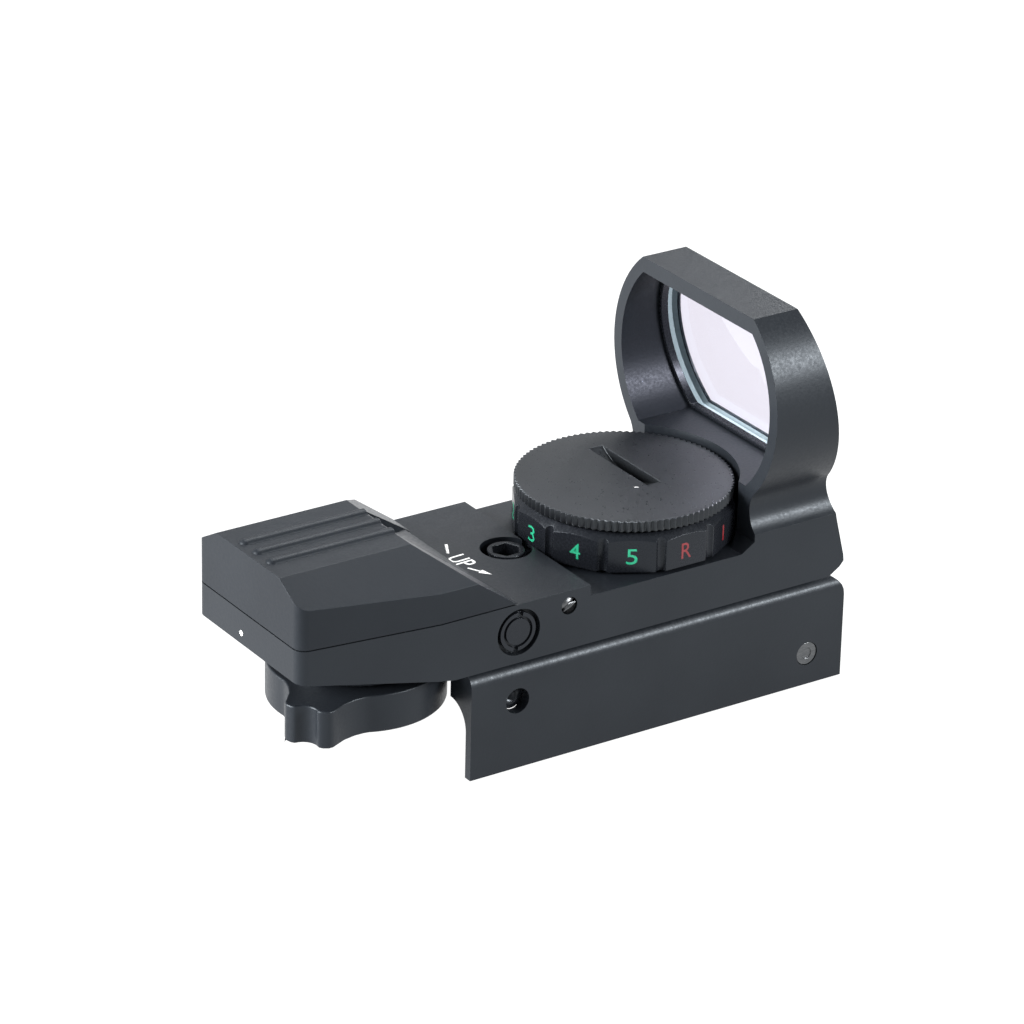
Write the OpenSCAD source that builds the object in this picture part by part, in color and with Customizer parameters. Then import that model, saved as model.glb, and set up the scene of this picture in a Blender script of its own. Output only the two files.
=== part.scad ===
// Open reflex red dot finder: a clamp base for a dovetail rail, a tilting carrier, and a
// body with battery dial, reticle selector and a hooded objective lens.
// +X is the direction of aim, +Y is left, +Z is up. The origin is on the rail seat,
// on the centre line, straight below the axis of the brightness dial.

/* [Housing] */
// Overall width of the metal housing
body_w = 29.3; // [28.9:0.1:29.8]
// Height of the rear deck above the rail seat
deck_z = 13.6; // [13.5:0.1:13.8]
// Height of the hood's flat top above the rail seat
hood_top_z = 43.7; // [42.5:0.1:45]
// Thickness of the hood wall
hood_wall = 1.7; // [1.5:0.1:1.9]

/* [Rear cover] */
// Height of the cover's flat top above the rail seat
cover_top_z = 22; // [21.6:0.1:22.6]
// Height of the grip ribs above the flat
rib_h = 0.5; // [0.3:0.1:0.7]
// Width of one grip rib
rib_w = 1.9; // [1.5:0.1:2.2]

/* [Brightness dial and battery cap] */
// Radius of the dial at its corners
dial_r = 14.6; // [14.4:0.1:14.7]
// Radius of the battery cap's rim
cap_r = 14.4; // [14.2:0.1:14.5]
// Number of teeth round the cap's rim
knurl_teeth = 100; // [80:1:110]
// Width of the coin slot
coin_slot_w = 2.1; // [1.8:0.1:2.3]

/* [Reticle selector] */
// Radius of the selector ring
knob_r = 11.6; // [11.3:0.1:11.8]
// Height of the selector ring
knob_h = 5.2; // [4.8:0.1:5.3]

/* [Clamp base] */
// Overall width of the clamp base
base_w = 28; // [27.6:0.1:28.4]
// Thickness of the base's lower skirts
skirt_t = 1.2; // [1:0.1:1.4]

/* [Hidden] */
$fn = 64;
e = 0.05;
half_w = body_w / 2;
base_half = base_w / 2;

// housing outline
rear_x = -56.7;
rear_half = 12.5;
bend_x = -37.5;
body_bot_z = 5.4;
under_rear_z = 9.1;
under_bend_x = -35.2;
step_x = -15;
front_deck_z = 12.1;
corner_r = 1.6;

// hood: rear face, leaning front face, and the side arcs
hood_x = 10.6;
front_x = 23.8;
lean = 0.209;
arc_r = 16.5;
arc_y = 1.8;
arc_z = 31;
neck_y = 17.2;
neck_z = 17.5;
neck_r_hood = 4;
neck_top_z = 20.1;
ledge_z = 14.5;
win_top_z = hood_top_z - 2.1;
win_bot_z = 20.4;
lens_step = 0.4;
lens_back = 2.1;
lens_t = 1.8;
ring_t = 1.2;
ring_w = 0.6;

// rear cover: ramp at the front, sloping sides, and the flared light notch
cover_bot_z = deck_z + 0.15;
cover_wall = 1.4;
cover_front_x = -26.15;
ramp = 1.39;
side_slope = 0.574;
flat_half = 7.6;
rib_pitch = 3.25;
notch_x = -37.3;
notch_rear_half = 5.1;
notch_front_half = 10.4;
notch_floor_z = 14.4;
notch_lip_x = -27.2;
cover_post_r = 2;
cover_thread_r = 0.9;

// brightness dial and battery
pocket_r = 15;
dial_bot_z = 12.5;
dial_top_z = 17.7;
neck_r = 6;
dial_sides = 12;
flat_depth = 0.3;
flute_r = 0.75;
flute_depth = 0.45;
chamber_r = 11.2;
chamber_top_z = 10.9;
board_z = 8.6;
cap_rim_z = 18.1;
cap_rim_top_z = 19.6;
cap_disc_r = 8;
knurl_depth = 0.4;
cap_top_z = 21.1;
thread_r = 11.8;
battery_r = 10;
battery_h = 3.2;
detent_ball_r = 0.8;
detent_sink = 0.3;

// tilt and windage mechanism
pitch_x = 20.4;
pitch_z = 2.6;
pitch_r = 1;
yaw_x = 17.2;
yaw_r = 1.5;
elev_x = -18.2;
elev_head_r = 2.45;
elev_hole_r = 3.4;
elev_shank_r = 1.25;
wind_x = -25.8;
wind_z = 9.7;
wind_recess_r = 3.2;
wind_head_r = 2.65;
wind_button_r = 1.8;
lock_x = -18.2;
lock_z = 11.5;
lock_r = 1.15;
fit = 0.05;

// reticle selector
knob_x = -40.7;
knob_z = -1.1;
boss_r = 9.5;
boss_z = 4.45;
spindle_r = 3;
disc_z = 10.4;
light_r = 4.8;
lead_y = 8.2;
lead_z = 9.6;
lead_tunnel_r = 0.9;

// clamp base
base_rear_x = -32.3;
base_front_x = 26.2;
base_top_z = 4.8;
base_bot_z = -10;
fillet_r = 3.6;
base_round = 2;
set_x = -25.3;
set_z = -0.4;
set_r = 1.75;
clamp_x = 20.5;
clamp_z = -5.5;
clamp_r = 1.6;

// colours
metal = [0.10, 0.11, 0.12];
metal_light = [0.55, 0.56, 0.58];
plastic = [0.13, 0.14, 0.15];
brass = [0.72, 0.58, 0.30];
board = [0.05, 0.30, 0.18];
white = [0.92, 0.92, 0.90];

// ---------- helpers ----------
module along_x(x0, x1) {
    translate([x0, 0, 0])
        rotate([90, 0, 90])
            linear_extrude(height = x1 - x0)
                children();
}

module along_y(y0, y1) {
    translate([0, y1, 0])
        rotate([90, 0, 0])
            linear_extrude(height = y1 - y0)
                children();
}

module up(z0, z1) {
    translate([0, 0, z0])
        linear_extrude(height = z1 - z0)
            children();
}

module rod_y(x, z, r, y0, y1, sides = 64) {
    translate([x, y0, z])
        rotate([-90, 0, 0])
            cylinder(r = r, h = y1 - y0, $fn = sides);
}

module rod_z(x, y, r, z0, z1, sides = 64) {
    translate([x, y, z0])
        cylinder(r = r, h = z1 - z0, $fn = sides);
}

module ring_z(r_out, r_in, z0, z1) {
    difference() {
        rod_z(0, 0, r_out, z0, z1);
        rod_z(0, 0, r_in, z0 - 1, z1 + 1);
    }
}

function arc_pts(cx, cy, r, a0, a1, n) =
    [for (i = [0 : n]) [cx + r * cos(a0 + (a1 - a0) * i / n), cy + r * sin(a0 + (a1 - a0) * i / n)]];

function front_at(z) = front_x - lean * (z - deck_z);

// plan of housing and cover, drawn in by "inset"
module plan_2d(inset = 0) {
    r = max(corner_r - inset, 0.4);
    polygon(concat(
        arc_pts(rear_x + inset + r, rear_half - inset - r, r, 180, 96, 4),
        [[bend_x, half_w - inset], [30, half_w - inset], [30, -half_w + inset],
         [bend_x, -half_w + inset]],
        arc_pts(rear_x + inset + r, -rear_half + inset + r, r, 264, 180, 4)));
}

// lobed outline of hood or window: two side arcs joined over the top
module hood_2d(r, z0, z1) {
    intersection() {
        union() {
            for (side = [-1, 1])
                translate([side * arc_y, arc_z])
                    circle(r = r);
            translate([-arc_y, arc_z - r])
                square([2 * arc_y, 2 * r]);
        }
        translate([-30, z0])
            square([60, z1 - z0]);
    }
}

// slab that leans with the hood's front face, measured back from that face
module lean_slab(back0, back1, z0 = 10, z1 = 50) {
    along_y(-30, 30)
        polygon([[front_at(z0) - back1, z0], [front_at(z0) - back0, z0],
                 [front_at(z1) - back0, z1], [front_at(z1) - back1, z1]]);
}

// ---------- clamp base ----------
module base_2d() {
    difference() {
        polygon(concat(
            [[-base_half, base_bot_z]],
            arc_pts(-base_half + base_round, base_top_z - base_round, base_round, 180, 90, 6),
            arc_pts(base_half - base_round, base_top_z - base_round, base_round, 90, 0, 6),
            [[base_half, base_bot_z]]));
        translate([-base_half + skirt_t, base_bot_z - 1])
            square([2 * (base_half - skirt_t), 1 - base_bot_z - fillet_r]);
        translate([-(base_half - skirt_t - fillet_r), -fillet_r - e])
            square([2 * (base_half - skirt_t - fillet_r), fillet_r + e]);
        for (side = [-1, 1])
            translate([side * (base_half - skirt_t - fillet_r), -fillet_r])
                circle(r = fillet_r);
    }
}

module base_side_2d() {
    polygon(concat(
        [[base_rear_x, base_bot_z], [base_rear_x, base_top_z]],
        arc_pts(base_front_x - 3, base_top_z - 3, 3, 90, 0, 6),
        [[base_front_x, base_bot_z]]));
}

module mount_base() {
    color(metal)
        difference() {
            union() {
                intersection() {
                    along_x(base_rear_x - 1, base_front_x + 1) base_2d();
                    along_y(-20, 20) base_side_2d();
                }
                // fixed claw under the rail's far edge
                along_x(-26, 24)
                    polygon([[base_half - skirt_t + e, -3.3], [10.8, -3.3], [8.2, -5.9],
                             [8.2, -7.4], [base_half - skirt_t + e, -7.4]]);
                // pad that gives the clamp screw its thread
                translate([clamp_x - 3, -base_half + skirt_t - e, -8.6])
                    cube([6, 1.45, 6]);
            }
            // clearance round the reticle selector
            rod_z(knob_x, 0, knob_r + 0.8, -e, base_top_z + 1);
            // pocket for the carrier's front block
            translate([14.4, -5.6, 0.8])
                cube([8, 11.2, 5]);
            rod_y(pitch_x, pitch_z, pitch_r + 0.01, -10, base_half + 1);
            // elevation screw and its spring
            rod_z(elev_x, 0, elev_shank_r + 0.15, -1, base_top_z + 1);
            rod_z(elev_x, 0, 3.2, 2.4, base_top_z + 1);
            // holes in the near wall
            rod_y(set_x, set_z, set_r, -base_half - 1, -8.5);
            rod_y(clamp_x, clamp_z, clamp_r + fit, -base_half - 1, -10);
        }
}

module rail_set_screw() {
    color(metal)
        difference() {
            rod_y(set_x, set_z, set_r - fit, -12.4, -10.45);
            rod_y(set_x, set_z, 0.9, -12.5, -11.2, 6);
        }
}

module set_tip() {
    color(brass)
        rod_y(set_x, set_z, 1, -10.43, -9.8);
}

module pitch_pin() {
    color(metal_light)
        rod_y(pitch_x, pitch_z, pitch_r, -9.6, base_half - 0.3);
}

module clamp_bar() {
    color(metal)
        difference() {
            union() {
                along_x(-24, 16.8)
                    polygon([[-11.6, -3.6], [-10.8, -3.4], [-8.2, -6], [-8.2, -7.4], [-11.6, -7.4]]);
                along_x(16.8 - e, 23.6)
                    polygon([[-10.2, -4], [-8.2, -6], [-8.2, -7.4], [-10.2, -7.4]]);
            }
            for (x = [-18, 10])
                rod_y(x, clamp_z, 1.05, -13, -9.4);
        }
}

module bar_guide_pins() {
    color(metal_light)
        for (x = [-18, 10])
            rod_y(x, clamp_z, 1, -base_half + skirt_t + 0.02, -10.6);
}

module clamp_screw() {
    color(metal_light)
        difference() {
            rod_y(clamp_x, clamp_z, clamp_r, -base_half + 0.1, -10.25);
            rod_y(clamp_x, clamp_z, 0.75, -base_half, -base_half + 0.25);
        }
}

// ---------- tilting carrier ----------
module tilt_carrier() {
    color(metal)
        difference() {
            union() {
                translate([-29.4, -8, 5.8])
                    cube([45, 16, 1.4]);
                translate([14.9, -5.2, 1.2])
                    cube([6.9, 10.4, 7.2]);
                translate([wind_x - 2, -2.4, 7])
                    cube([4, 4.8, 4.8]);
            }
            rod_y(pitch_x, pitch_z, pitch_r + fit, -7, 7);
            rod_z(yaw_x, 0, yaw_r + fit, 0, 9);
            rod_z(yaw_x, 0, 2.1, 1, 3);
            rod_z(elev_x, 0, elev_shank_r + 0.1, 5, 8);
            rod_y(wind_x, wind_z, 1.6, -4, 4);
            // relief under the windage clip
            translate([wind_x - 3.2, -9, 6.6])
                cube([6.4, 3.6, 1]);
        }
}

module elevation_spring() {
    color(metal_light)
        for (z = [2.72, 3.62, 4.52, 5.42])
            translate([elev_x, 0, z])
                rotate_extrude()
                    translate([2.3, 0])
                        circle(r = 0.3, $fn = 24);
}

module elevation_screw() {
    color(metal)
        difference() {
            union() {
                rod_z(elev_x, 0, elev_head_r, 7.25, deck_z - 0.15);
                rod_z(elev_x, 0, elev_shank_r, 0.6, 7.3);
            }
            rod_z(elev_x, 0, 1.95, deck_z - 3.2, deck_z + 1, 6);
            // thread groove of the upper ring
            translate([elev_x, 0, deck_z - 1.2])
                ring_z(elev_head_r + 1, elev_head_r - 0.3, 0, 0.4);
        }
}

// ---------- housing ----------
module housing_side_2d() {
    polygon([[rear_x, under_rear_z], [under_bend_x, body_bot_z], [23, body_bot_z],
             [24.7, body_bot_z + 1.1], [25.3, body_bot_z + 1.8], [25.2, body_bot_z + 2.7],
             [front_at(deck_z), deck_z], [front_at(hood_top_z), hood_top_z], [hood_x, hood_top_z],
             [hood_x, deck_z - 0.2], [8.6, front_deck_z], [step_x, front_deck_z],
             [step_x, deck_z], [rear_x, deck_z]]);
}

module housing_cross_2d() {
    difference() {
        translate([-half_w, 5])
            square([2 * half_w, neck_top_z - 5]);
        // waist that runs out of the hood's side arc and into the ledge
        for (side = [-1, 1]) {
            translate([side * neck_y, neck_z])
                circle(r = neck_r_hood);
            translate([side * neck_y - neck_r_hood / 2, ledge_z])
                square([neck_r_hood, 10]);
        }
    }
    hood_2d(arc_r, neck_top_z - e, hood_top_z);
}

module window_cuts() {
    // wide part in front of the lens seat, on the eye side
    intersection() {
        along_x(5, 30) hood_2d(arc_r - hood_wall, win_bot_z, win_top_z);
        lean_slab(lens_back - lens_t, 40, 15, 50);
    }
    // narrow part through to the front
    along_x(5, 30)
        hood_2d(arc_r - hood_wall - lens_step, win_bot_z + lens_step, win_top_z - lens_step);
}

module rear_box_cut() {
    intersection() {
        up(0, deck_z + 1) plan_2d(1.5);
        along_y(-20, 20)
            polygon([[rear_x + 1.5, under_rear_z + 1.6], [under_bend_x - 1, body_bot_z + 1.8],
                     [-33.4, body_bot_z + 1.8], [-33.4, deck_z + 1], [rear_x + 1.5, deck_z + 1]]);
    }
}

module cover_screw_spots() {
    for (side = [-1, 1]) {
        translate([-53, side * 8.6, 0]) children();
        translate([-35.6, side * 11.2, 0]) children();
    }
}

module housing() {
    color(metal)
        difference() {
            union() {
                intersection() {
                    up(0, 50) plan_2d_wide();
                    along_y(-30, 30) housing_side_2d();
                    along_x(rear_x - 1, 30) housing_cross_2d();
                }
                rod_z(knob_x, 0, boss_r, boss_z, 9);
                cover_screw_spots()
                    rod_z(0, 0, 2, 9.4, deck_z);
            }
            window_cuts();
            rear_box_cut_around_posts();
            // dial pocket, neck bore and switch chamber
            rod_z(0, 0, pocket_r, front_deck_z, 24);
            rod_z(0, 0, neck_r + fit, chamber_top_z - 1, front_deck_z + 1);
            rod_z(0, 0, chamber_r, 7, chamber_top_z);
            rod_z(0, 0, 12.4, body_bot_z - 1, 8.5);
            for (a = [30, 150, 270])
                rod_z(11.7 * cos(a), 11.7 * sin(a), 0.5, 8, 10);
            // room for the carrier under the deck
            translate([-31, -9.5, body_bot_z - 1])
                cube([53.2, 19, 3.2]);
            translate([13.9, -6.2, body_bot_z - 1])
                cube([8.3, 12.4, 4.4]);
            translate([-30, -6.5, body_bot_z - 1])
                cube([15.6, 13, 7.8]);
            rod_z(elev_x, 0, elev_hole_r, 12, deck_z + 1);
            rod_z(yaw_x, 0, 1.25, 8, 12.8);
            // windage screw and lock screw
            rod_y(wind_x, wind_z, wind_recess_r, -half_w - 1, -half_w + 1.2);
            rod_y(wind_x, wind_z, 2.15, -half_w - 1, -6);
            rod_y(wind_x, wind_z, 3, -6.42, -5.6);
            rod_y(lock_x, lock_z, lock_r + fit, -half_w - 1, -2.6);
            // selector spindle, its detent, and the lead tunnel
            rod_z(knob_x, 0, spindle_r + fit, 3, 12);
            rod_z(knob_x - 7.2, 0, detent_ball_r + fit, 4, 8.2);
            rod_z(-8.6, 0, detent_ball_r + fit, 11.1, 13);
            translate([-34, lead_y, lead_z])
                rotate([0, 90, 0])
                    cylinder(r = lead_tunnel_r, h = 28);
            cover_screw_spots() {
                rod_z(0, 0, 0.95, 5, deck_z + 1);
                rod_z(0, 0, 1.6, 4, 9.2);
            }
        }
}

// plan used for the metal: the hood is wider than the body
module plan_2d_wide() {
    plan_2d();
    translate([hood_x - 1, -25])
        square([25, 50]);
}

module rear_box_cut_around_posts() {
    difference() {
        rear_box_cut();
        cover_screw_spots()
            rod_z(0, 0, 2, 4, deck_z + 2);
    }
}

module yaw_screw() {
    color(metal_light)
        difference() {
            union() {
                rod_z(yaw_x, 0, 1.9, 1.5, 2.9);
                rod_z(yaw_x, 0, yaw_r, 2.85, 8.7);
                rod_z(yaw_x, 0, 1.2, 8.6, 12.4);
            }
            rod_z(yaw_x, 0, 0.9, 1, 2.3, 6);
        }
}

module objective_lens() {
    color([0.85, 0.95, 0.98, 0.35])
        intersection() {
            along_x(5, 30)
                hood_2d(arc_r - hood_wall - 0.1, win_bot_z + 0.1, win_top_z - 0.1);
            lean_slab(lens_back - lens_t + 0.05, lens_back, 15, 50);
        }
}

module lens_retainer() {
    color(metal)
        difference() {
            intersection() {
                along_x(5, 30)
                    hood_2d(arc_r - hood_wall - fit, win_bot_z + fit, win_top_z - fit);
                lean_slab(lens_back + 0.05, lens_back + ring_t, 15, 50);
            }
            along_x(4, 31)
                hood_2d(arc_r - hood_wall - ring_w, win_bot_z + ring_w, win_top_z - ring_w);
            rod_z(0, 0, pocket_r, front_deck_z, 24);
        }
}

// ---------- rear cover and light path ----------
function ramp_x(z) = cover_front_x - ramp * (z - cover_bot_z);

module cover_shape(inset, bottom) {
    top = cover_top_z - inset;
    fh = flat_half - inset / 2;
    drop = side_slope * (20 - fh);
    intersection() {
        up(bottom, 40) plan_2d(inset);
        along_x(rear_x - 1, 0)
            polygon([[-20, bottom], [20, bottom], [20, top - drop], [fh, top], [-fh, top],
                     [-20, top - drop]]);
        along_y(-30, 30)
            polygon([[rear_x - 1, bottom], [ramp_x(bottom) - inset * 1.7, bottom],
                     [ramp_x(top) - inset * 1.7, top], [rear_x - 1, top]]);
    }
}

module grip_rib(y) {
    r = rib_w / 2;
    x0 = rear_x + 0.7 + r;
    intersection() {
        translate([x0, y, cover_top_z + rib_h - r]) {
            sphere(r = r);
            rotate([0, 90, 0])
                cylinder(r = r, h = ramp_x(cover_top_z) - x0);
        }
        translate([rear_x, -15, cover_top_z - 0.2])
            cube([30, 30, 5]);
    }
}

// flared notch that lets the light fan out over the deck
module light_notch() {
    intersection() {
        along_y(-12, 12)
            polygon([[notch_x, 24], [notch_x, 20.1], [-29.2, 14.8], [notch_lip_x, notch_floor_z],
                     [notch_lip_x, 12], [-25, 12], [-25, 24]]);
        up(10, 30)
            polygon([[notch_x, -notch_rear_half], [cover_front_x, -notch_front_half],
                     [-25, -notch_front_half], [-25, notch_front_half],
                     [cover_front_x, notch_front_half], [notch_x, notch_rear_half]]);
    }
    along_y(-3, 3)
        polygon([[-35.6, 24], [-35.6, 13], [-31.2, 13], [-31.2, 24]]);
}

module rear_cover() {
    color(plastic)
        difference() {
            union() {
                difference() {
                    union() {
                        cover_shape(0, cover_bot_z);
                        for (i = [-1 : 1])
                            grip_rib(i * rib_pitch);
                    }
                    difference() {
                        cover_shape(cover_wall, cover_bot_z - 1);
                        // web behind the light notch
                        along_y(-11.6, 11.6)
                            polygon([[-38.6, 30], [-38.6, 18.9], [-30.6, 12], [-26, 12],
                                     [-26, 30]]);
                    }
                    light_notch();
                }
                cover_screw_spots()
                    rod_z(0, 0, cover_post_r, cover_bot_z, 18.2);
            }
            cover_screw_spots()
                rod_z(0, 0, cover_thread_r + fit, cover_bot_z - 1, 17.2);
        }
}

module cover_gasket() {
    color([0.04, 0.04, 0.04])
        difference() {
            intersection() {
                up(deck_z + 0.01, cover_bot_z - 0.01) plan_2d(0.3);
                translate([rear_x, -20, 0])
                    cube([-rear_x - 35.2, 40, 30]);
            }
            intersection() {
                up(deck_z - 1, cover_bot_z + 1) plan_2d(1.3);
                translate([rear_x, -20, 0])
                    cube([-rear_x - 36.2, 40, 30]);
            }
            cover_screw_spots()
                rod_z(0, 0, 2.05, 10, 20);
        }
}

module cover_screws() {
    color(metal_light)
        cover_screw_spots()
            difference() {
                union() {
                    rod_z(0, 0, 1.5, 8.1, 9.15);
                    rod_z(0, 0, 0.9, 9.1, 16.8);
                }
                rod_z(0, 0, 0.6, 8, 8.7, 6);
            }
}

module emitter_window() {
    color([0.8, 0.3, 0.3, 0.4])
        intersection() {
            along_y(-2.95, 2.95)
                polygon([[-35.55, 30], [-35.55, 12], [-31.25, 12], [-31.25, 30]]);
            along_y(-2.95, 2.95)
                polygon([[-40, 21.1], [-28, 13.2], [-28, 12.4], [-40, 20.3]]);
        }
}

module mirror_block() {
    color(plastic)
        difference() {
            union() {
                along_y(-4.6, 4.6)
                    polygon([[-42.6, 14], [-42.6, 19], [-40.4, 19], [-36.6, 15.2], [-36.6, 14]]);
                translate([-42.6, -8.7, 14])
                    cube([2.2, 17.4, 1.6]);
                for (side = [-1, 1])
                    translate([-42.6, side * 8 - 0.7, 8.45])
                        cube([2.2, 1.4, 5.6]);
            }
            along_y(-3.6, 3.6)
                polygon([[-39.6, 12], [-39.6, 16.6], [-36.2, 13.2], [-36.2, 12]]);
        }
}

module fold_mirror() {
    color([0.8, 0.85, 0.9])
        along_y(-3.4, 3.4)
            polygon([[-40.3, 19.3], [-36.5, 15.5], [-36.1, 15.9], [-39.9, 19.7]]);
}

module led_board() {
    color(board)
        difference() {
            translate([-37.4, -3, 7.4])
                cube([3.6, 6, 0.8]);
            rod_z(-34.6, 2.2, 0.35, 7, 9);
        }
}

module led() {
    color([0.9, 0.9, 0.85])
        union() {
            translate([knob_x + light_r - 1.4, -1.25, 8.22])
                cube([2, 2.5, 0.6]);
            rod_z(knob_x + light_r - 0.4, 0, 0.8, 8.8, 9.6);
        }
}

// ---------- reticle selector ----------
module knob_detent() {
    color(metal_light) {
        translate([knob_x - 7.2, 0, boss_z - detent_sink + detent_ball_r])
            sphere(r = detent_ball_r);
        for (z = [6.1, 6.7, 7.3])
            translate([knob_x - 7.2, 0, z])
                rotate_extrude()
                    translate([0.5, 0])
                        circle(r = 0.15, $fn = 24);
    }
}

module tab_2d() {
    // finger tab: two lobes with a shallow flute between them and hollow flanks
    difference() {
        polygon([[-9.6, -6.3], [-9.6, 6.3], [-10.5, 5.35], [-11.5, 4.6], [-13.05, 3.85],
                 [-14.6, 3.5], [-15.4, 3.35], [-16, 2.95], [-16.3, 2.2], [-16.3, -2.2],
                 [-16, -2.95], [-15.4, -3.35], [-14.6, -3.5], [-13.05, -3.85], [-11.5, -4.6],
                 [-10.5, -5.35]]);
        translate([-17.4, 0])
            circle(r = 1.9);
    }
}

module reticle_knob() {
    color(metal)
        translate([knob_x, 0, 0])
            difference() {
                union() {
                    rod_z(0, 0, knob_r, knob_z, knob_z + knob_h);
                    rotate([0, 0, 36])
                        up(knob_z, knob_z + knob_h) tab_2d();
                }
                rod_z(0, 0, 8.6, knob_z - 1, knob_z + 2.6);
                rod_z(0, 0, spindle_r - 0.5 + fit, knob_z, 6);
                // track of the detent ball, with four seats
                ring_track(7.2);
                for (a = [0, 30, 60, 90])
                    rotate([0, 0, 180 + a])
                        translate([7.2, 0, boss_z - detent_sink + detent_ball_r - 0.1])
                            sphere(r = detent_ball_r + 0.05);
            }
}

module ring_track(r) {
    rotate_extrude()
        translate([r, boss_z - detent_sink + detent_ball_r - 0.02])
            circle(r = detent_ball_r + 0.06, $fn = 32);
}

module reticle_spindle() {
    color(brass)
        translate([knob_x, 0, 0])
            difference() {
                union() {
                    rod_z(0, 0, spindle_r - 0.5, 2, 4.3);
                    rod_z(0, 0, spindle_r, knob_z + knob_h + 0.05, 9.2);
                    rod_z(0, 0, 3.6, 9.15, 10.35);
                }
                rod_z(0, 0, 0.8, 1, 7.5);
            }
}

module reticle_disc() {
    color([0.5, 0.5, 0.52])
        translate([knob_x, 0, 0])
            difference() {
                rod_z(0, 0, 7, disc_z, disc_z + 0.4);
                for (a = [0, 30, 60, 90])
                    rotate([0, 0, a])
                        rod_z(light_r - 0.4, 0, 0.8, disc_z - 1, disc_z + 1);
            }
}

module knob_screw() {
    color(metal_light)
        translate([knob_x, 0, 0])
            difference() {
                union() {
                    rod_z(0, 0, 3.6, 0.2, 1.45);
                    rod_z(0, 0, 0.75, 1.4, 7);
                }
                translate([-4, -0.4, 0])
                    cube([8, 0.8, 0.7]);
            }
}

// ---------- brightness dial and battery ----------
// twelve-sided skirt with a flute at each corner, cut back to a cone at its top
module dial_skirt() {
    difference() {
        intersection() {
            rotate([0, 0, 15])
                rod_z(0, 0, (dial_r - flat_depth) / cos(180 / dial_sides), dial_bot_z, dial_top_z,
                      dial_sides);
            rod_z(0, 0, dial_r, dial_bot_z, dial_top_z);
            translate([0, 0, dial_bot_z])
                cylinder(r1 = dial_r + 4.2, r2 = dial_r - 1, h = dial_top_z - dial_bot_z);
        }
        for (i = [1 : dial_sides])
            rotate([0, 0, (i + 0.5) * 360 / dial_sides])
                rod_z(dial_r + flute_r - flute_depth, 0, flute_r, dial_bot_z - 1, dial_top_z + 1, 32);
    }
}

module brightness_dial() {
    color(metal)
        difference() {
            union() {
                dial_skirt();
                rod_z(0, 0, neck_r, 9.8, dial_bot_z + 0.5);
            }
            rod_z(0, 0, thread_r + fit, 15.2, dial_top_z + 1);
            rod_z(0, 0, battery_r + 0.3, 13.7, 16);
            rod_z(0, 0, 2, 9, 14);
            // track of the detent ball
            rotate_extrude()
                translate([8.6, dial_bot_z + detent_sink - detent_ball_r + 0.02])
                    circle(r = detent_ball_r + 0.06, $fn = 32);
            // groove for the retaining clip
            ring_cut(10.1, 10.7, neck_r - 0.6);
        }
}

module ring_cut(z0, z1, r_in) {
    difference() {
        rod_z(0, 0, 20, z0, z1);
        rod_z(0, 0, r_in, z0 - 1, z1 + 1);
    }
}

module dial_clip() {
    color(metal_light)
        difference() {
            ring_z(neck_r + 1.6, neck_r - 0.55, 10.15, 10.65);
            translate([4, -1.6, 9])
                cube([6, 3.2, 3]);
        }
}

module dial_wiper() {
    color(brass)
        union() {
            ring_z(neck_r - 0.9, 2.2, 9.5, 9.78);
            translate([4.9, -0.7, 9.5])
                cube([4, 1.4, 0.28]);
        }
}

module contact_spring() {
    color(metal_light)
        for (z = [13.92, 14.3])
            translate([0, 0, z])
                rotate_extrude()
                    translate([3.2, 0])
                        circle(r = 0.18, $fn = 24);
}

module battery() {
    color([0.75, 0.76, 0.78])
        union() {
            rod_z(0, 0, battery_r - 1.2, 14.55, 15);
            rod_z(0, 0, battery_r, 14.95, 14.55 + battery_h);
        }
}

module dial_detent() {
    color(metal_light)
        translate([-8.6, 0, dial_bot_z + detent_sink - detent_ball_r])
            sphere(r = detent_ball_r);
}

module switch_board() {
    color(board)
        difference() {
            rod_z(0, 0, chamber_r - 0.3, board_z + 0.02, board_z + 0.8);
            rod_z(0, 0, 1.2, 8, 10);
        }
}

module switch_cover() {
    color(plastic)
        difference() {
            rod_z(0, 0, 12.3, 7.65, 8.48);
            for (a = [30, 150, 270])
                rod_z(11.7 * cos(a), 11.7 * sin(a), 0.5, 7, 9);
        }
}

module switch_cover_screws() {
    color(metal_light)
        for (a = [30, 150, 270])
            translate([11.7 * cos(a), 11.7 * sin(a), 0]) {
                rod_z(0, 0, 0.45, 7.6, 9.6);
                rod_z(0, 0, 0.55, 7.45, 7.62);
            }
}

module lead_wires() {
    color([0.6, 0.1, 0.08])
        for (dy = [-0.42, 0.42])
            translate([-36, lead_y + dy, lead_z])
                rotate([0, 90, 0])
                    cylinder(r = 0.38, h = 28.35);
}

module cap_o_ring() {
    color([0.05, 0.05, 0.05])
        translate([0, 0, dial_top_z + 0.22])
            rotate_extrude()
                translate([12.4, 0])
                    circle(r = 0.2, $fn = 24);
}

module knurl_2d() {
    polygon([for (i = [0 : 2 * knurl_teeth - 1])
        (i % 2 == 0 ? cap_r : cap_r - knurl_depth)
            * [cos(180 * i / knurl_teeth), sin(180 * i / knurl_teeth)]]);
}

module battery_cap() {
    color(metal)
        difference() {
            union() {
                up(cap_rim_z + 0.02, cap_rim_top_z) knurl_2d();
                translate([0, 0, cap_rim_top_z - e])
                    cylinder(r1 = cap_r - knurl_depth - 0.05, r2 = cap_disc_r,
                             h = cap_top_z - cap_rim_top_z + e);
                rod_z(0, 0, thread_r, 17.8, cap_rim_z + 0.1);
                ring_z(thread_r, battery_r + 0.4, 15.6, 17.9);
            }
            // coin slot with a round bottom
            intersection() {
                translate([-coin_slot_w / 2, -7, 18])
                    cube([coin_slot_w, 14, 5]);
                translate([-5, 0, 31.3])
                    rotate([0, 90, 0])
                        cylinder(r = 12.2, h = 10);
            }
        }
}

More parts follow.
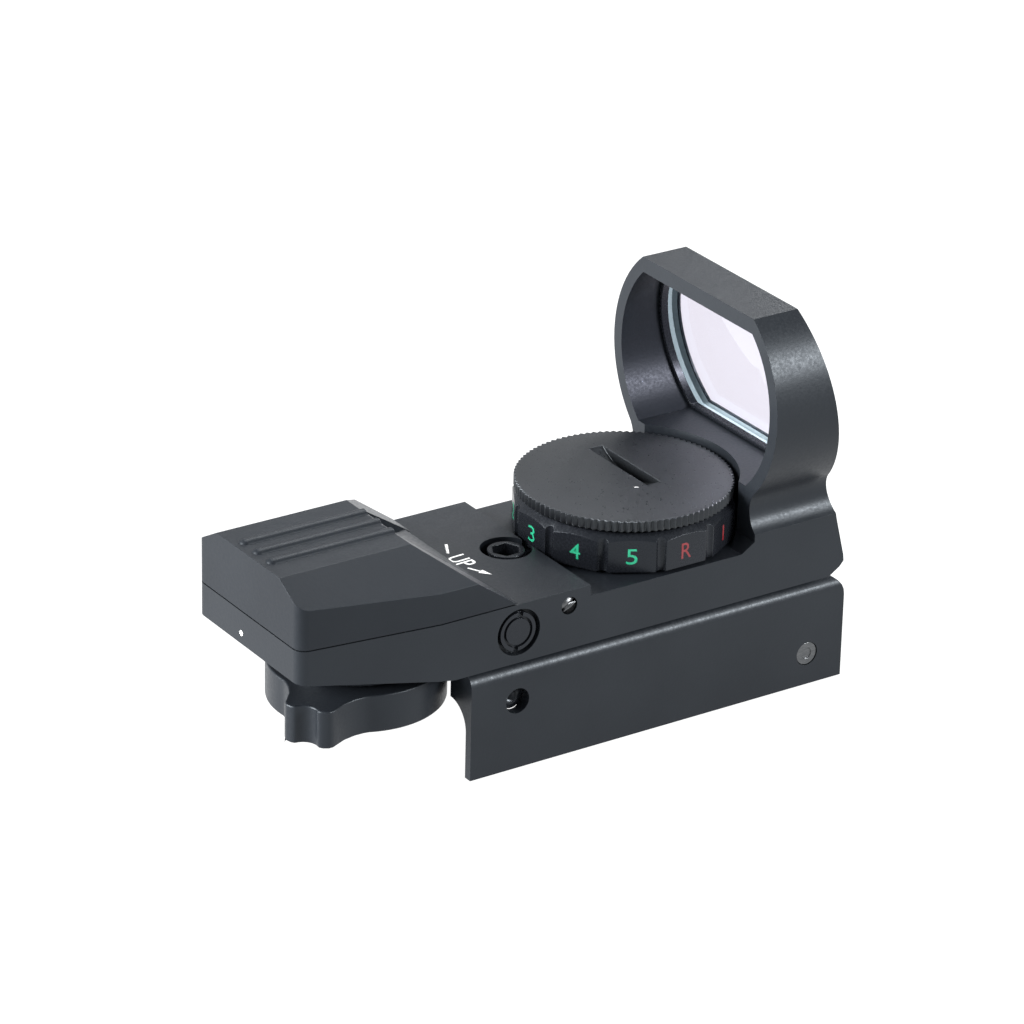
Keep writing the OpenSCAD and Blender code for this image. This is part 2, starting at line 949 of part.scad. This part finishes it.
// ---------- adjusters on the near side ----------
module windage_screw() {
    color(metal)
        difference() {
            union() {
                rod_y(wind_x, wind_z, wind_head_r, -half_w + 0.15, -half_w + 1.05);
                rod_y(wind_x, wind_z, 2.1, -half_w + 1, -5.6);
                rod_y(wind_x, wind_z, 1.5, -5.7, 3.6);
            }
            // groove round the centre button, and the tool slot across the outer ring
            groove_y(wind_x, wind_z, wind_button_r, -half_w, -half_w + 0.6, 0.35);
            difference() {
                translate([wind_x, -half_w, wind_z])
                    rotate([0, 8, 0])
                        cube([0.7, 1.2, 7], center = true);
                rod_y(wind_x, wind_z, wind_button_r + 0.1, -half_w - 1, -half_w + 1);
            }
            // groove for the retaining clip
            groove_y(wind_x, wind_z, 1.75, -6.3, -5.85);
        }
}

module groove_y(x, z, r_in, y0, y1, w = 2) {
    difference() {
        rod_y(x, z, r_in + w, y0, y1);
        rod_y(x, z, r_in, y0 - 1, y1 + 1);
    }
}

module windage_clip() {
    color(metal_light)
        difference() {
            rod_y(wind_x, wind_z, 2.7, -6.27, -5.9);
            rod_y(wind_x, wind_z, 1.8, -7, -5);
            translate([wind_x - 0.9, -7, wind_z])
                cube([1.8, 2, 4]);
        }
}

module lock_pad() {
    color(white)
        rod_y(lock_x, lock_z, 0.95, -9, -3.3);
}

module lock_screw() {
    color(metal)
        difference() {
            rod_y(lock_x, lock_z, lock_r, -half_w + 0.2, -9.05);
            translate([lock_x, -half_w, lock_z])
                rotate([0, 60, 0])
                    cube([0.5, 1.2, 6], center = true);
        }
}

// ---------- painted marks ----------
module deck_marks() {
    color(white) {
        // arrow and dash of the elevation direction
        translate([-25.65, -2.47, deck_z])
            rotate([0, 0, -62.9])
                up(0.005, 0.03)
                    polygon([[0, -0.14], [1.85, -0.14], [1.85, -0.5], [3.55, 0], [1.85, 0.5],
                             [1.85, 0.14], [0, 0.14]]);
        translate([-25.48, 2.48, deck_z])
            rotate([0, 0, 62.2])
                up(0.005, 0.03)
                    translate([0, -0.18])
                        square([2.68, 0.36]);
        // index dot on the rear face
        translate([rear_x - 0.03, 1.5, 10.6])
            rotate([0, 90, 0])
                cylinder(r = 0.38, h = 0.025);
    }
}

mount_base();
rail_set_screw();
set_tip();
pitch_pin();
clamp_bar();
bar_guide_pins();
clamp_screw();
tilt_carrier();
elevation_spring();
elevation_screw();
housing();
yaw_screw();
objective_lens();
lens_retainer();
rear_cover();
cover_gasket();
cover_screws();
emitter_window();
mirror_block();
fold_mirror();
led_board();
led();
knob_detent();
reticle_knob();
reticle_spindle();
reticle_disc();
knob_screw();
brightness_dial();
dial_clip();
dial_wiper();
contact_spring();
battery();
dial_detent();
switch_board();
switch_cover();
switch_cover_screws();
lead_wires();
cap_o_ring();
battery_cap();
windage_screw();
windage_clip();
lock_pad();
lock_screw();
deck_marks();
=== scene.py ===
import math

import bpy
from mathutils import Matrix, Vector


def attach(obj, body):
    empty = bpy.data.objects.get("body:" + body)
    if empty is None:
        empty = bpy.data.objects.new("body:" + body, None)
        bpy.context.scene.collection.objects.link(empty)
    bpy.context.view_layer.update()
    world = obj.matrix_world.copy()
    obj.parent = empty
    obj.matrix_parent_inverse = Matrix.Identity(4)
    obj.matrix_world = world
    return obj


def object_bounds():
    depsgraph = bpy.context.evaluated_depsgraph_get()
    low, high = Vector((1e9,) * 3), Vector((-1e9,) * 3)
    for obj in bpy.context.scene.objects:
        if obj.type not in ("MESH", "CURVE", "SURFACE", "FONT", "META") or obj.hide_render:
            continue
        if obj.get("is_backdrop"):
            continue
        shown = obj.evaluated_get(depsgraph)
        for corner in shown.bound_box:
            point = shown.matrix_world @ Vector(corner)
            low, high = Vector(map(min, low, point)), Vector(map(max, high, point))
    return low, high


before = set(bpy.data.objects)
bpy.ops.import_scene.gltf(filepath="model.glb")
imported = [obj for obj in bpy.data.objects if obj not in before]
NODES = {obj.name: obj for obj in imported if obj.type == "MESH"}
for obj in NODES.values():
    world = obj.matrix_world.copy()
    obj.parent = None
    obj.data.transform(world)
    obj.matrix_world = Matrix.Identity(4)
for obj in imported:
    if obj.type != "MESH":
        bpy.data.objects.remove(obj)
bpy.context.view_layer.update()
MM = 0.001


# ---------- node helpers ----------
class Graph:
    """A material's nodes, with short calls to add and join them."""

    def __init__(self, name):
        self.material = bpy.data.materials.new(name)
        self.material.use_nodes = True
        self.tree = self.material.node_tree
        self.shader = self.tree.nodes["Principled BSDF"]
        self.output = self.tree.nodes["Material Output"]
        self.place = self.add("ShaderNodeTexCoord").outputs["Object"]

    def add(self, kind, **values):
        node = self.tree.nodes.new(kind)
        for key, value in values.items():
            if hasattr(node, key):
                setattr(node, key, value)
            else:
                node.inputs[key].default_value = value
        return node

    def join(self, out, into):
        self.tree.links.new(out, into)

    def noise(self, scale, detail=4.0, stretch=(1, 1, 1)):
        mapping = self.add("ShaderNodeMapping")
        mapping.inputs["Scale"].default_value = stretch
        self.join(self.place, mapping.inputs["Vector"])
        node = self.add("ShaderNodeTexNoise", Scale=scale, Detail=detail)
        self.join(mapping.outputs["Vector"], node.inputs["Vector"])
        return node.outputs["Fac"]

    def ramp(self, fac, stops):
        node = self.add("ShaderNodeValToRGB")
        elements = node.color_ramp.elements
        while len(elements) < len(stops):
            elements.new(0.5)
        for element, (position, color) in zip(elements, stops):
            element.position = position
            element.color = (*color, 1) if len(color) == 3 else color
        self.join(fac, node.inputs["Fac"])
        return node.outputs["Color"]

    def span(self, fac, low, high):
        """Spreads a noise's middle range over low to high."""
        node = self.add("ShaderNodeMapRange")
        node.inputs["From Min"].default_value = 0.3
        node.inputs["From Max"].default_value = 0.7
        node.inputs["To Min"].default_value = low
        node.inputs["To Max"].default_value = high
        self.join(fac, node.inputs["Value"])
        return node.outputs["Result"]

    def mix(self, fac, a, b):
        node = self.add("ShaderNodeMix", data_type="RGBA")
        self.join(fac, node.inputs["Factor"])
        self.join(a, node.inputs["A"])
        self.join(b, node.inputs["B"])
        return node.outputs["Result"]

    def bump(self, height, strength, distance):
        node = self.add("ShaderNodeBump", Strength=strength, Distance=distance)
        self.join(height, node.inputs["Height"])
        self.join(node.outputs["Normal"], self.shader.inputs["Normal"])


def coated(name, dark, light, rough, grain=2600, bump=0.25, sheen=0.26):
    """A dark anodised or moulded skin: fine grain over faint clouding, with a cool sheen."""
    g = Graph(name)
    cloud = g.noise(60, 3)
    fine = g.noise(grain, 2)
    g.join(g.ramp(cloud, [(0.3, dark), (0.7, light)]), g.shader.inputs["Base Color"])
    g.join(g.span(fine, rough - 0.05, rough + 0.07), g.shader.inputs["Roughness"])
    g.shader.inputs["Specular IOR Level"].default_value = sheen
    g.shader.inputs["Specular Tint"].default_value = (0.84, 0.92, 1.0, 1)
    g.bump(fine, bump, 0.00004)
    return g.material


def metal(name, dark, light, rough, scratch=(1, 1, 30)):
    """Bare turned metal with fine tool lines."""
    g = Graph(name)
    lines = g.noise(900, 3, scratch)
    g.join(g.ramp(lines, [(0.3, dark), (0.7, light)]), g.shader.inputs["Base Color"])
    g.join(g.span(lines, rough - 0.06, rough + 0.08), g.shader.inputs["Roughness"])
    g.shader.inputs["Metallic"].default_value = 1.0
    g.bump(lines, 0.15, 0.00002)
    return g.material


def painted(name, color, rough=0.5, spread=0.08):
    """Print, rubber, board or sleeve: even colour with a slight mottle."""
    g = Graph(name)
    spots = g.noise(1500, 3)
    low = [max(c - spread, 0) for c in color]
    g.join(g.ramp(spots, [(0.3, low), (0.7, color)]), g.shader.inputs["Base Color"])
    g.join(g.span(spots, rough - 0.05, rough + 0.05), g.shader.inputs["Roughness"])
    g.bump(spots, 0.1, 0.00003)
    return g.material


RIM_SLOPE = 0.6  # lens faces whose normal lies less than this along X are its ground rim


def coated_glass():
    """Clear coated lens: tinted transmission plus a bluish reflection, and a pale ground rim."""
    g = Graph("coated_glass")
    haze = g.noise(40, 2)
    through = g.add("ShaderNodeBsdfTransparent")
    tint = g.ramp(haze, [(0.3, (0.80, 0.785, 0.83)), (0.7, (0.83, 0.815, 0.86))])
    g.join(tint, through.inputs["Color"])
    gloss = g.add("ShaderNodeBsdfGlossy")
    gloss.inputs["Color"].default_value = (0.075, 0.085, 0.095, 1)
    gloss.inputs["Roughness"].default_value = 0.0
    face = g.add("ShaderNodeAddShader")
    g.join(through.outputs[0], face.inputs[0])
    g.join(gloss.outputs[0], face.inputs[1])
    g.shader.inputs["Roughness"].default_value = 0.35
    ground = g.ramp(g.noise(2500, 2), [(0.3, (0.44, 0.58, 0.58)), (0.7, (0.52, 0.66, 0.66))])
    g.join(ground, g.shader.inputs["Base Color"])
    normal = g.add("ShaderNodeNewGeometry").outputs["True Normal"]
    split = g.add("ShaderNodeSeparateXYZ")
    g.join(normal, split.inputs[0])
    size = g.add("ShaderNodeMath", operation="ABSOLUTE")
    g.join(split.outputs["X"], size.inputs[0])
    rim = g.add("ShaderNodeMath", operation="LESS_THAN")
    rim.inputs[1].default_value = RIM_SLOPE
    g.join(size.outputs[0], rim.inputs[0])
    mix = g.add("ShaderNodeMixShader")
    g.join(rim.outputs[0], mix.inputs["Fac"])
    g.join(face.outputs[0], mix.inputs[1])
    g.join(g.shader.outputs[0], mix.inputs[2])
    g.join(mix.outputs[0], g.output.inputs["Surface"])
    return g.material


def clear(name, color, rough=0.05):
    """Clear or tinted resin."""
    g = Graph(name)
    swirl = g.noise(200, 2)
    deep = [c * 0.85 for c in color]
    g.join(g.ramp(swirl, [(0.3, deep), (0.7, color)]), g.shader.inputs["Base Color"])
    g.join(g.span(swirl, rough, rough + 0.05), g.shader.inputs["Roughness"])
    g.shader.inputs["Transmission Weight"].default_value = 0.9
    return g.material


ANODISED = coated("anodised", (0.007, 0.0085, 0.011), (0.010, 0.012, 0.015), 0.38)
BASE_COAT = coated("base_anodised", (0.007, 0.0085, 0.011), (0.010, 0.012, 0.015), 0.36)
PLASTIC = coated("moulded_plastic", (0.007, 0.0085, 0.011), (0.010, 0.012, 0.015), 0.42, 1800, 0.3, 0.2)
GLOSSY = coated("dial_anodised", (0.006, 0.007, 0.009), (0.009, 0.010, 0.013), 0.26, 3000, 0.05)
CAP_COAT = coated("cap_anodised", (0.007, 0.008, 0.009), (0.010, 0.011, 0.013), 0.32, 3000, 0.05, 0.42)
STEEL = metal("bright_steel", (0.30, 0.31, 0.33), (0.48, 0.49, 0.51), 0.30)
DARK_STEEL = metal("dark_steel", (0.08, 0.085, 0.09), (0.14, 0.145, 0.15), 0.32)
BRASS = metal("turned_brass", (0.52, 0.38, 0.16), (0.72, 0.55, 0.26), 0.28)
NICKEL = metal("nickel_case", (0.55, 0.56, 0.58), (0.72, 0.73, 0.75), 0.2, (1, 1, 1))
SLEEVE = painted("wire_sleeve", (0.5, 0.05, 0.04))
BOARD = painted("solder_mask", (0.03, 0.22, 0.11), 0.35)
RUBBER = painted("seal_rubber", (0.03, 0.03, 0.03), 0.7, 0.01)
NYLON = painted("nylon", (0.8, 0.8, 0.76))
FILM = painted("reticle_film", (0.06, 0.06, 0.065), 0.3, 0.02)
LAMP = clear("lamp_resin", (0.9, 0.88, 0.82))
RED_CLEAR = clear("red_window", (0.75, 0.12, 0.12))
WHITE = painted("white_print", (0.86, 0.86, 0.85), 0.5, 0.03)
GREEN = painted("green_print", (0.02, 0.32, 0.17), 0.5, 0.02)
RED = painted("red_print", (0.17, 0.018, 0.022), 0.5, 0.015)

LOOKS = {
    "mount_base": BASE_COAT, "clamp_bar": BASE_COAT, "tilt_carrier": BASE_COAT,
    "rail_set_screw": GLOSSY, "set_tip": BRASS, "pitch_pin": STEEL, "bar_guide_pins": STEEL,
    "clamp_screw": DARK_STEEL, "elevation_spring": STEEL, "elevation_screw": GLOSSY,
    "housing": ANODISED, "yaw_screw": STEEL, "objective_lens": coated_glass(),
    "lens_retainer": GLOSSY, "rear_cover": PLASTIC, "cover_gasket": RUBBER,
    "cover_screws": DARK_STEEL, "emitter_window": RED_CLEAR, "mirror_block": PLASTIC,
    "fold_mirror": NICKEL, "led_board": BOARD, "led": LAMP, "knob_detent": STEEL,
    "reticle_knob": ANODISED, "reticle_spindle": BRASS, "reticle_disc": FILM,
    "knob_screw": DARK_STEEL, "brightness_dial": GLOSSY, "dial_clip": STEEL,
    "dial_wiper": BRASS, "contact_spring": STEEL, "battery": NICKEL, "dial_detent": STEEL,
    "switch_board": BOARD, "switch_cover": PLASTIC, "switch_cover_screws": STEEL,
    "lead_wires": SLEEVE, "cap_o_ring": RUBBER, "battery_cap": CAP_COAT,
    "windage_screw": GLOSSY, "windage_clip": STEEL, "lock_pad": NYLON,
    "lock_screw": DARK_STEEL, "deck_marks": WHITE,
}

SEAM = 0.002 * MM                    # vertices closer than this are joined
FLAT_ANGLE = math.radians(0.6)       # faces that bend less than this become one
SHARP_ANGLE = math.radians(28)       # edges that bend more than this are rounded
# edge rounding of the larger pieces, in millimetres
ROUNDING = {
    "housing": 0.3, "mount_base": 0.35, "rear_cover": 0.4, "reticle_knob": 0.35,
    "brightness_dial": 0.2, "battery_cap": 0.1, "elevation_screw": 0.12, "windage_screw": 0.1,
    "clamp_screw": 0.15, "lens_retainer": 0.1,
}


def dress(name, node):
    """Gives a CAD node its material, joins its split vertices and rounds its sharp edges."""
    node.data.materials.clear()
    node.data.materials.append(LOOKS[name])
    weld = node.modifiers.new("weld", "WELD")
    weld.merge_threshold = SEAM
    flat = node.modifiers.new("flat", "DECIMATE")
    flat.decimate_type = "DISSOLVE"
    flat.angle_limit = FLAT_ANGLE
    if name in ROUNDING:
        bevel = node.modifiers.new("bevel", "BEVEL")
        bevel.width = ROUNDING[name] * MM
        bevel.segments = 3
        bevel.limit_method = "ANGLE"
        bevel.angle_limit = SHARP_ANGLE
        bevel.use_clamp_overlap = True
    for face in node.data.polygons:
        face.use_smooth = True
    smooth = node.modifiers.new("normals", "WEIGHTED_NORMAL")
    smooth.mode = "FACE_AREA"
    smooth.weight = 100
    smooth.keep_sharp = True


for node_name, cad_object in NODES.items():
    dress(node_name, cad_object)


# ---------- printed marks ----------
INK = 0.005 * MM        # widening of a stroke by the ink
FILM_HALF = 0.006 * MM  # half the thickness of the print
DRAW_SIZE = 3 * MM      # size a letter is drawn at before it is fitted to its place


def letter(name, text, size, material, body, place):
    """One printed character or word as a thin raised film: size is its width and height."""
    curve = bpy.data.curves.new(name, "FONT")
    curve.body = text
    curve.size = DRAW_SIZE
    curve.extrude = FILM_HALF
    curve.offset = INK
    temp = bpy.data.objects.new(name + "_curve", curve)
    bpy.context.collection.objects.link(temp)
    bpy.context.view_layer.update()
    mesh = bpy.data.meshes.new_from_object(temp)
    bpy.data.objects.remove(temp)
    mesh.name = name
    lows = [min(v.co[i] for v in mesh.vertices) for i in (0, 1)]
    spans = [max(v.co[i] for v in mesh.vertices) - lows[i] for i in (0, 1)]
    for v in mesh.vertices:
        for i in (0, 1):
            v.co[i] = (v.co[i] - lows[i] - spans[i] / 2) * size[i] * MM / spans[i]
    mesh.transform(place)
    mesh.materials.append(material)
    piece = bpy.data.objects.new(name, mesh)
    bpy.context.collection.objects.link(piece)
    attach(piece, body)
    return piece


DIAL_FLAT = 14.3 * MM
DIAL_GAP = 0.01 * MM
DIGIT_Z = 14.7 * MM
DIGIT_HEIGHT = 2.15
DIGIT_WIDTH = 1.45
WIDTHS = {"G": 1.6, "R": 1.5, "1": 0.4}
# twelve settings: five green and five red levels, each after its own lamp letter
SETTINGS = [("G", 90, GREEN), ("1", 120, GREEN), ("2", 150, GREEN), ("3", 180, GREEN),
            ("4", 210, GREEN), ("5", 240, GREEN), ("R", 270, RED), ("1", 300, RED),
            ("2", 330, RED), ("3", 0, RED), ("4", 30, RED), ("5", 60, RED)]
for text, angle, color in SETTINGS:
    a = math.radians(angle)
    out = DIAL_FLAT + DIAL_GAP
    place = (Matrix.Translation((out * math.cos(a), out * math.sin(a), DIGIT_Z))
             @ Matrix.Rotation(a + math.radians(90), 4, "Z")
             @ Matrix.Rotation(math.radians(90), 4, "X"))
    size = (WIDTHS.get(text, DIGIT_WIDTH), DIGIT_HEIGHT)
    letter("level_%s_%03d" % (text, angle), text, size, color, "dial", place)

DECK_Z = 13.6 * MM
CAP_TOP_Z = 21.1 * MM
letter("up_legend", "UP", (3.2, 2.7), WHITE, "housing_body",
       Matrix.Translation((-25.15 * MM, -0.25 * MM, DECK_Z + 2 * FILM_HALF))
       @ Matrix.Rotation(math.radians(-87), 4, "Z"))
letter("slot_mark", "-", (0.55, 0.12), WHITE, "cap",
       Matrix.Translation((-2.6 * MM, -6.5 * MM, CAP_TOP_Z + 0.005 * MM))
       @ Matrix.Rotation(math.radians(-30), 4, "Z"))


# ---------- stage, light and camera ----------
FLOOR_HALF = 6.0
FLOOR_GAP = 0.2 * MM


def floor():
    """A pale glowing sheet just under the object, so that it stands on plain white."""
    mesh = bpy.data.meshes.new("floor")
    h = FLOOR_HALF
    mesh.from_pydata([(-h, -h, 0), (h, -h, 0), (h, h, 0), (-h, h, 0)], [], [(0, 1, 2, 3)])
    sheet = bpy.data.objects.new("floor", mesh)
    sheet.location = (0, 0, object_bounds()[0][2] - FLOOR_GAP)
    bpy.context.collection.objects.link(sheet)
    g = Graph("floor_white")
    g.join(g.ramp(g.noise(3, 2), [(0.3, (0.09, 0.09, 0.09)), (0.7, (0.10, 0.10, 0.10))]),
           g.shader.inputs["Base Color"])
    g.shader.inputs["Roughness"].default_value = 0.95
    g.shader.inputs["Specular IOR Level"].default_value = 0.0
    g.shader.inputs["Emission Color"].default_value = (1, 1, 1, 1)
    g.shader.inputs["Emission Strength"].default_value = 0.98
    mesh.materials.append(g.material)
    sheet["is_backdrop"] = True


CENTRE = (-0.01, 0, 0.015)


def softbox(name, aim_from, size, power):
    """One rectangular studio light, turned to the middle of the object."""
    light = bpy.data.lights.new(name, "AREA")
    light.shape = "RECTANGLE"
    light.size, light.size_y = size
    light.energy = power
    lamp = bpy.data.objects.new(name, light)
    lamp.location = aim_from
    way = Vector(CENTRE) - Vector(aim_from)
    lamp.rotation_euler = way.to_track_quat("-Z", "Y").to_euler()
    bpy.context.collection.objects.link(lamp)


floor()
softbox("key_rear", (-0.95, 0.30, 0.30), (0.7, 0.6), 46)
softbox("top_box", (0.25, 0.35, 0.85), (0.6, 0.6), 7)
softbox("front_box", (0.85, 0.45, 0.38), (0.5, 0.4), 12)
softbox("near_strip", (0.60, -0.80, 0.42), (0.5, 0.16), 16)

world = bpy.data.worlds.new("studio")
bpy.context.scene.world = world
world.use_nodes = True
world.node_tree.nodes["Background"].inputs["Color"].default_value = (0.95, 0.97, 1.0, 1)
world.node_tree.nodes["Background"].inputs["Strength"].default_value = 0.55

# a long lens, set for the reference view's perspective
camera_data = bpy.data.cameras.new("camera")
camera_data.sensor_width = 36
camera_data.lens = 176.35
camera_data.clip_start = 0.01
camera_data.clip_end = 50
camera = bpy.data.objects.new("camera", camera_data)
AZIMUTH, ELEVATION, ROLL = math.radians(-33.98), math.radians(24.91), math.radians(1.32)
back = Vector((math.sin(AZIMUTH) * math.cos(ELEVATION),
               -math.cos(AZIMUTH) * math.cos(ELEVATION), math.sin(ELEVATION)))
camera.location = Vector((-342.8, -482.8, 288.9)) * MM
camera.rotation_euler = (back.to_track_quat("Z", "Y").to_matrix()
                         @ Matrix.Rotation(ROLL, 3, "Z")).to_euler()
bpy.context.collection.objects.link(camera)
bpy.context.scene.camera = camera
bpy.context.scene.view_settings.view_transform = "Standard"
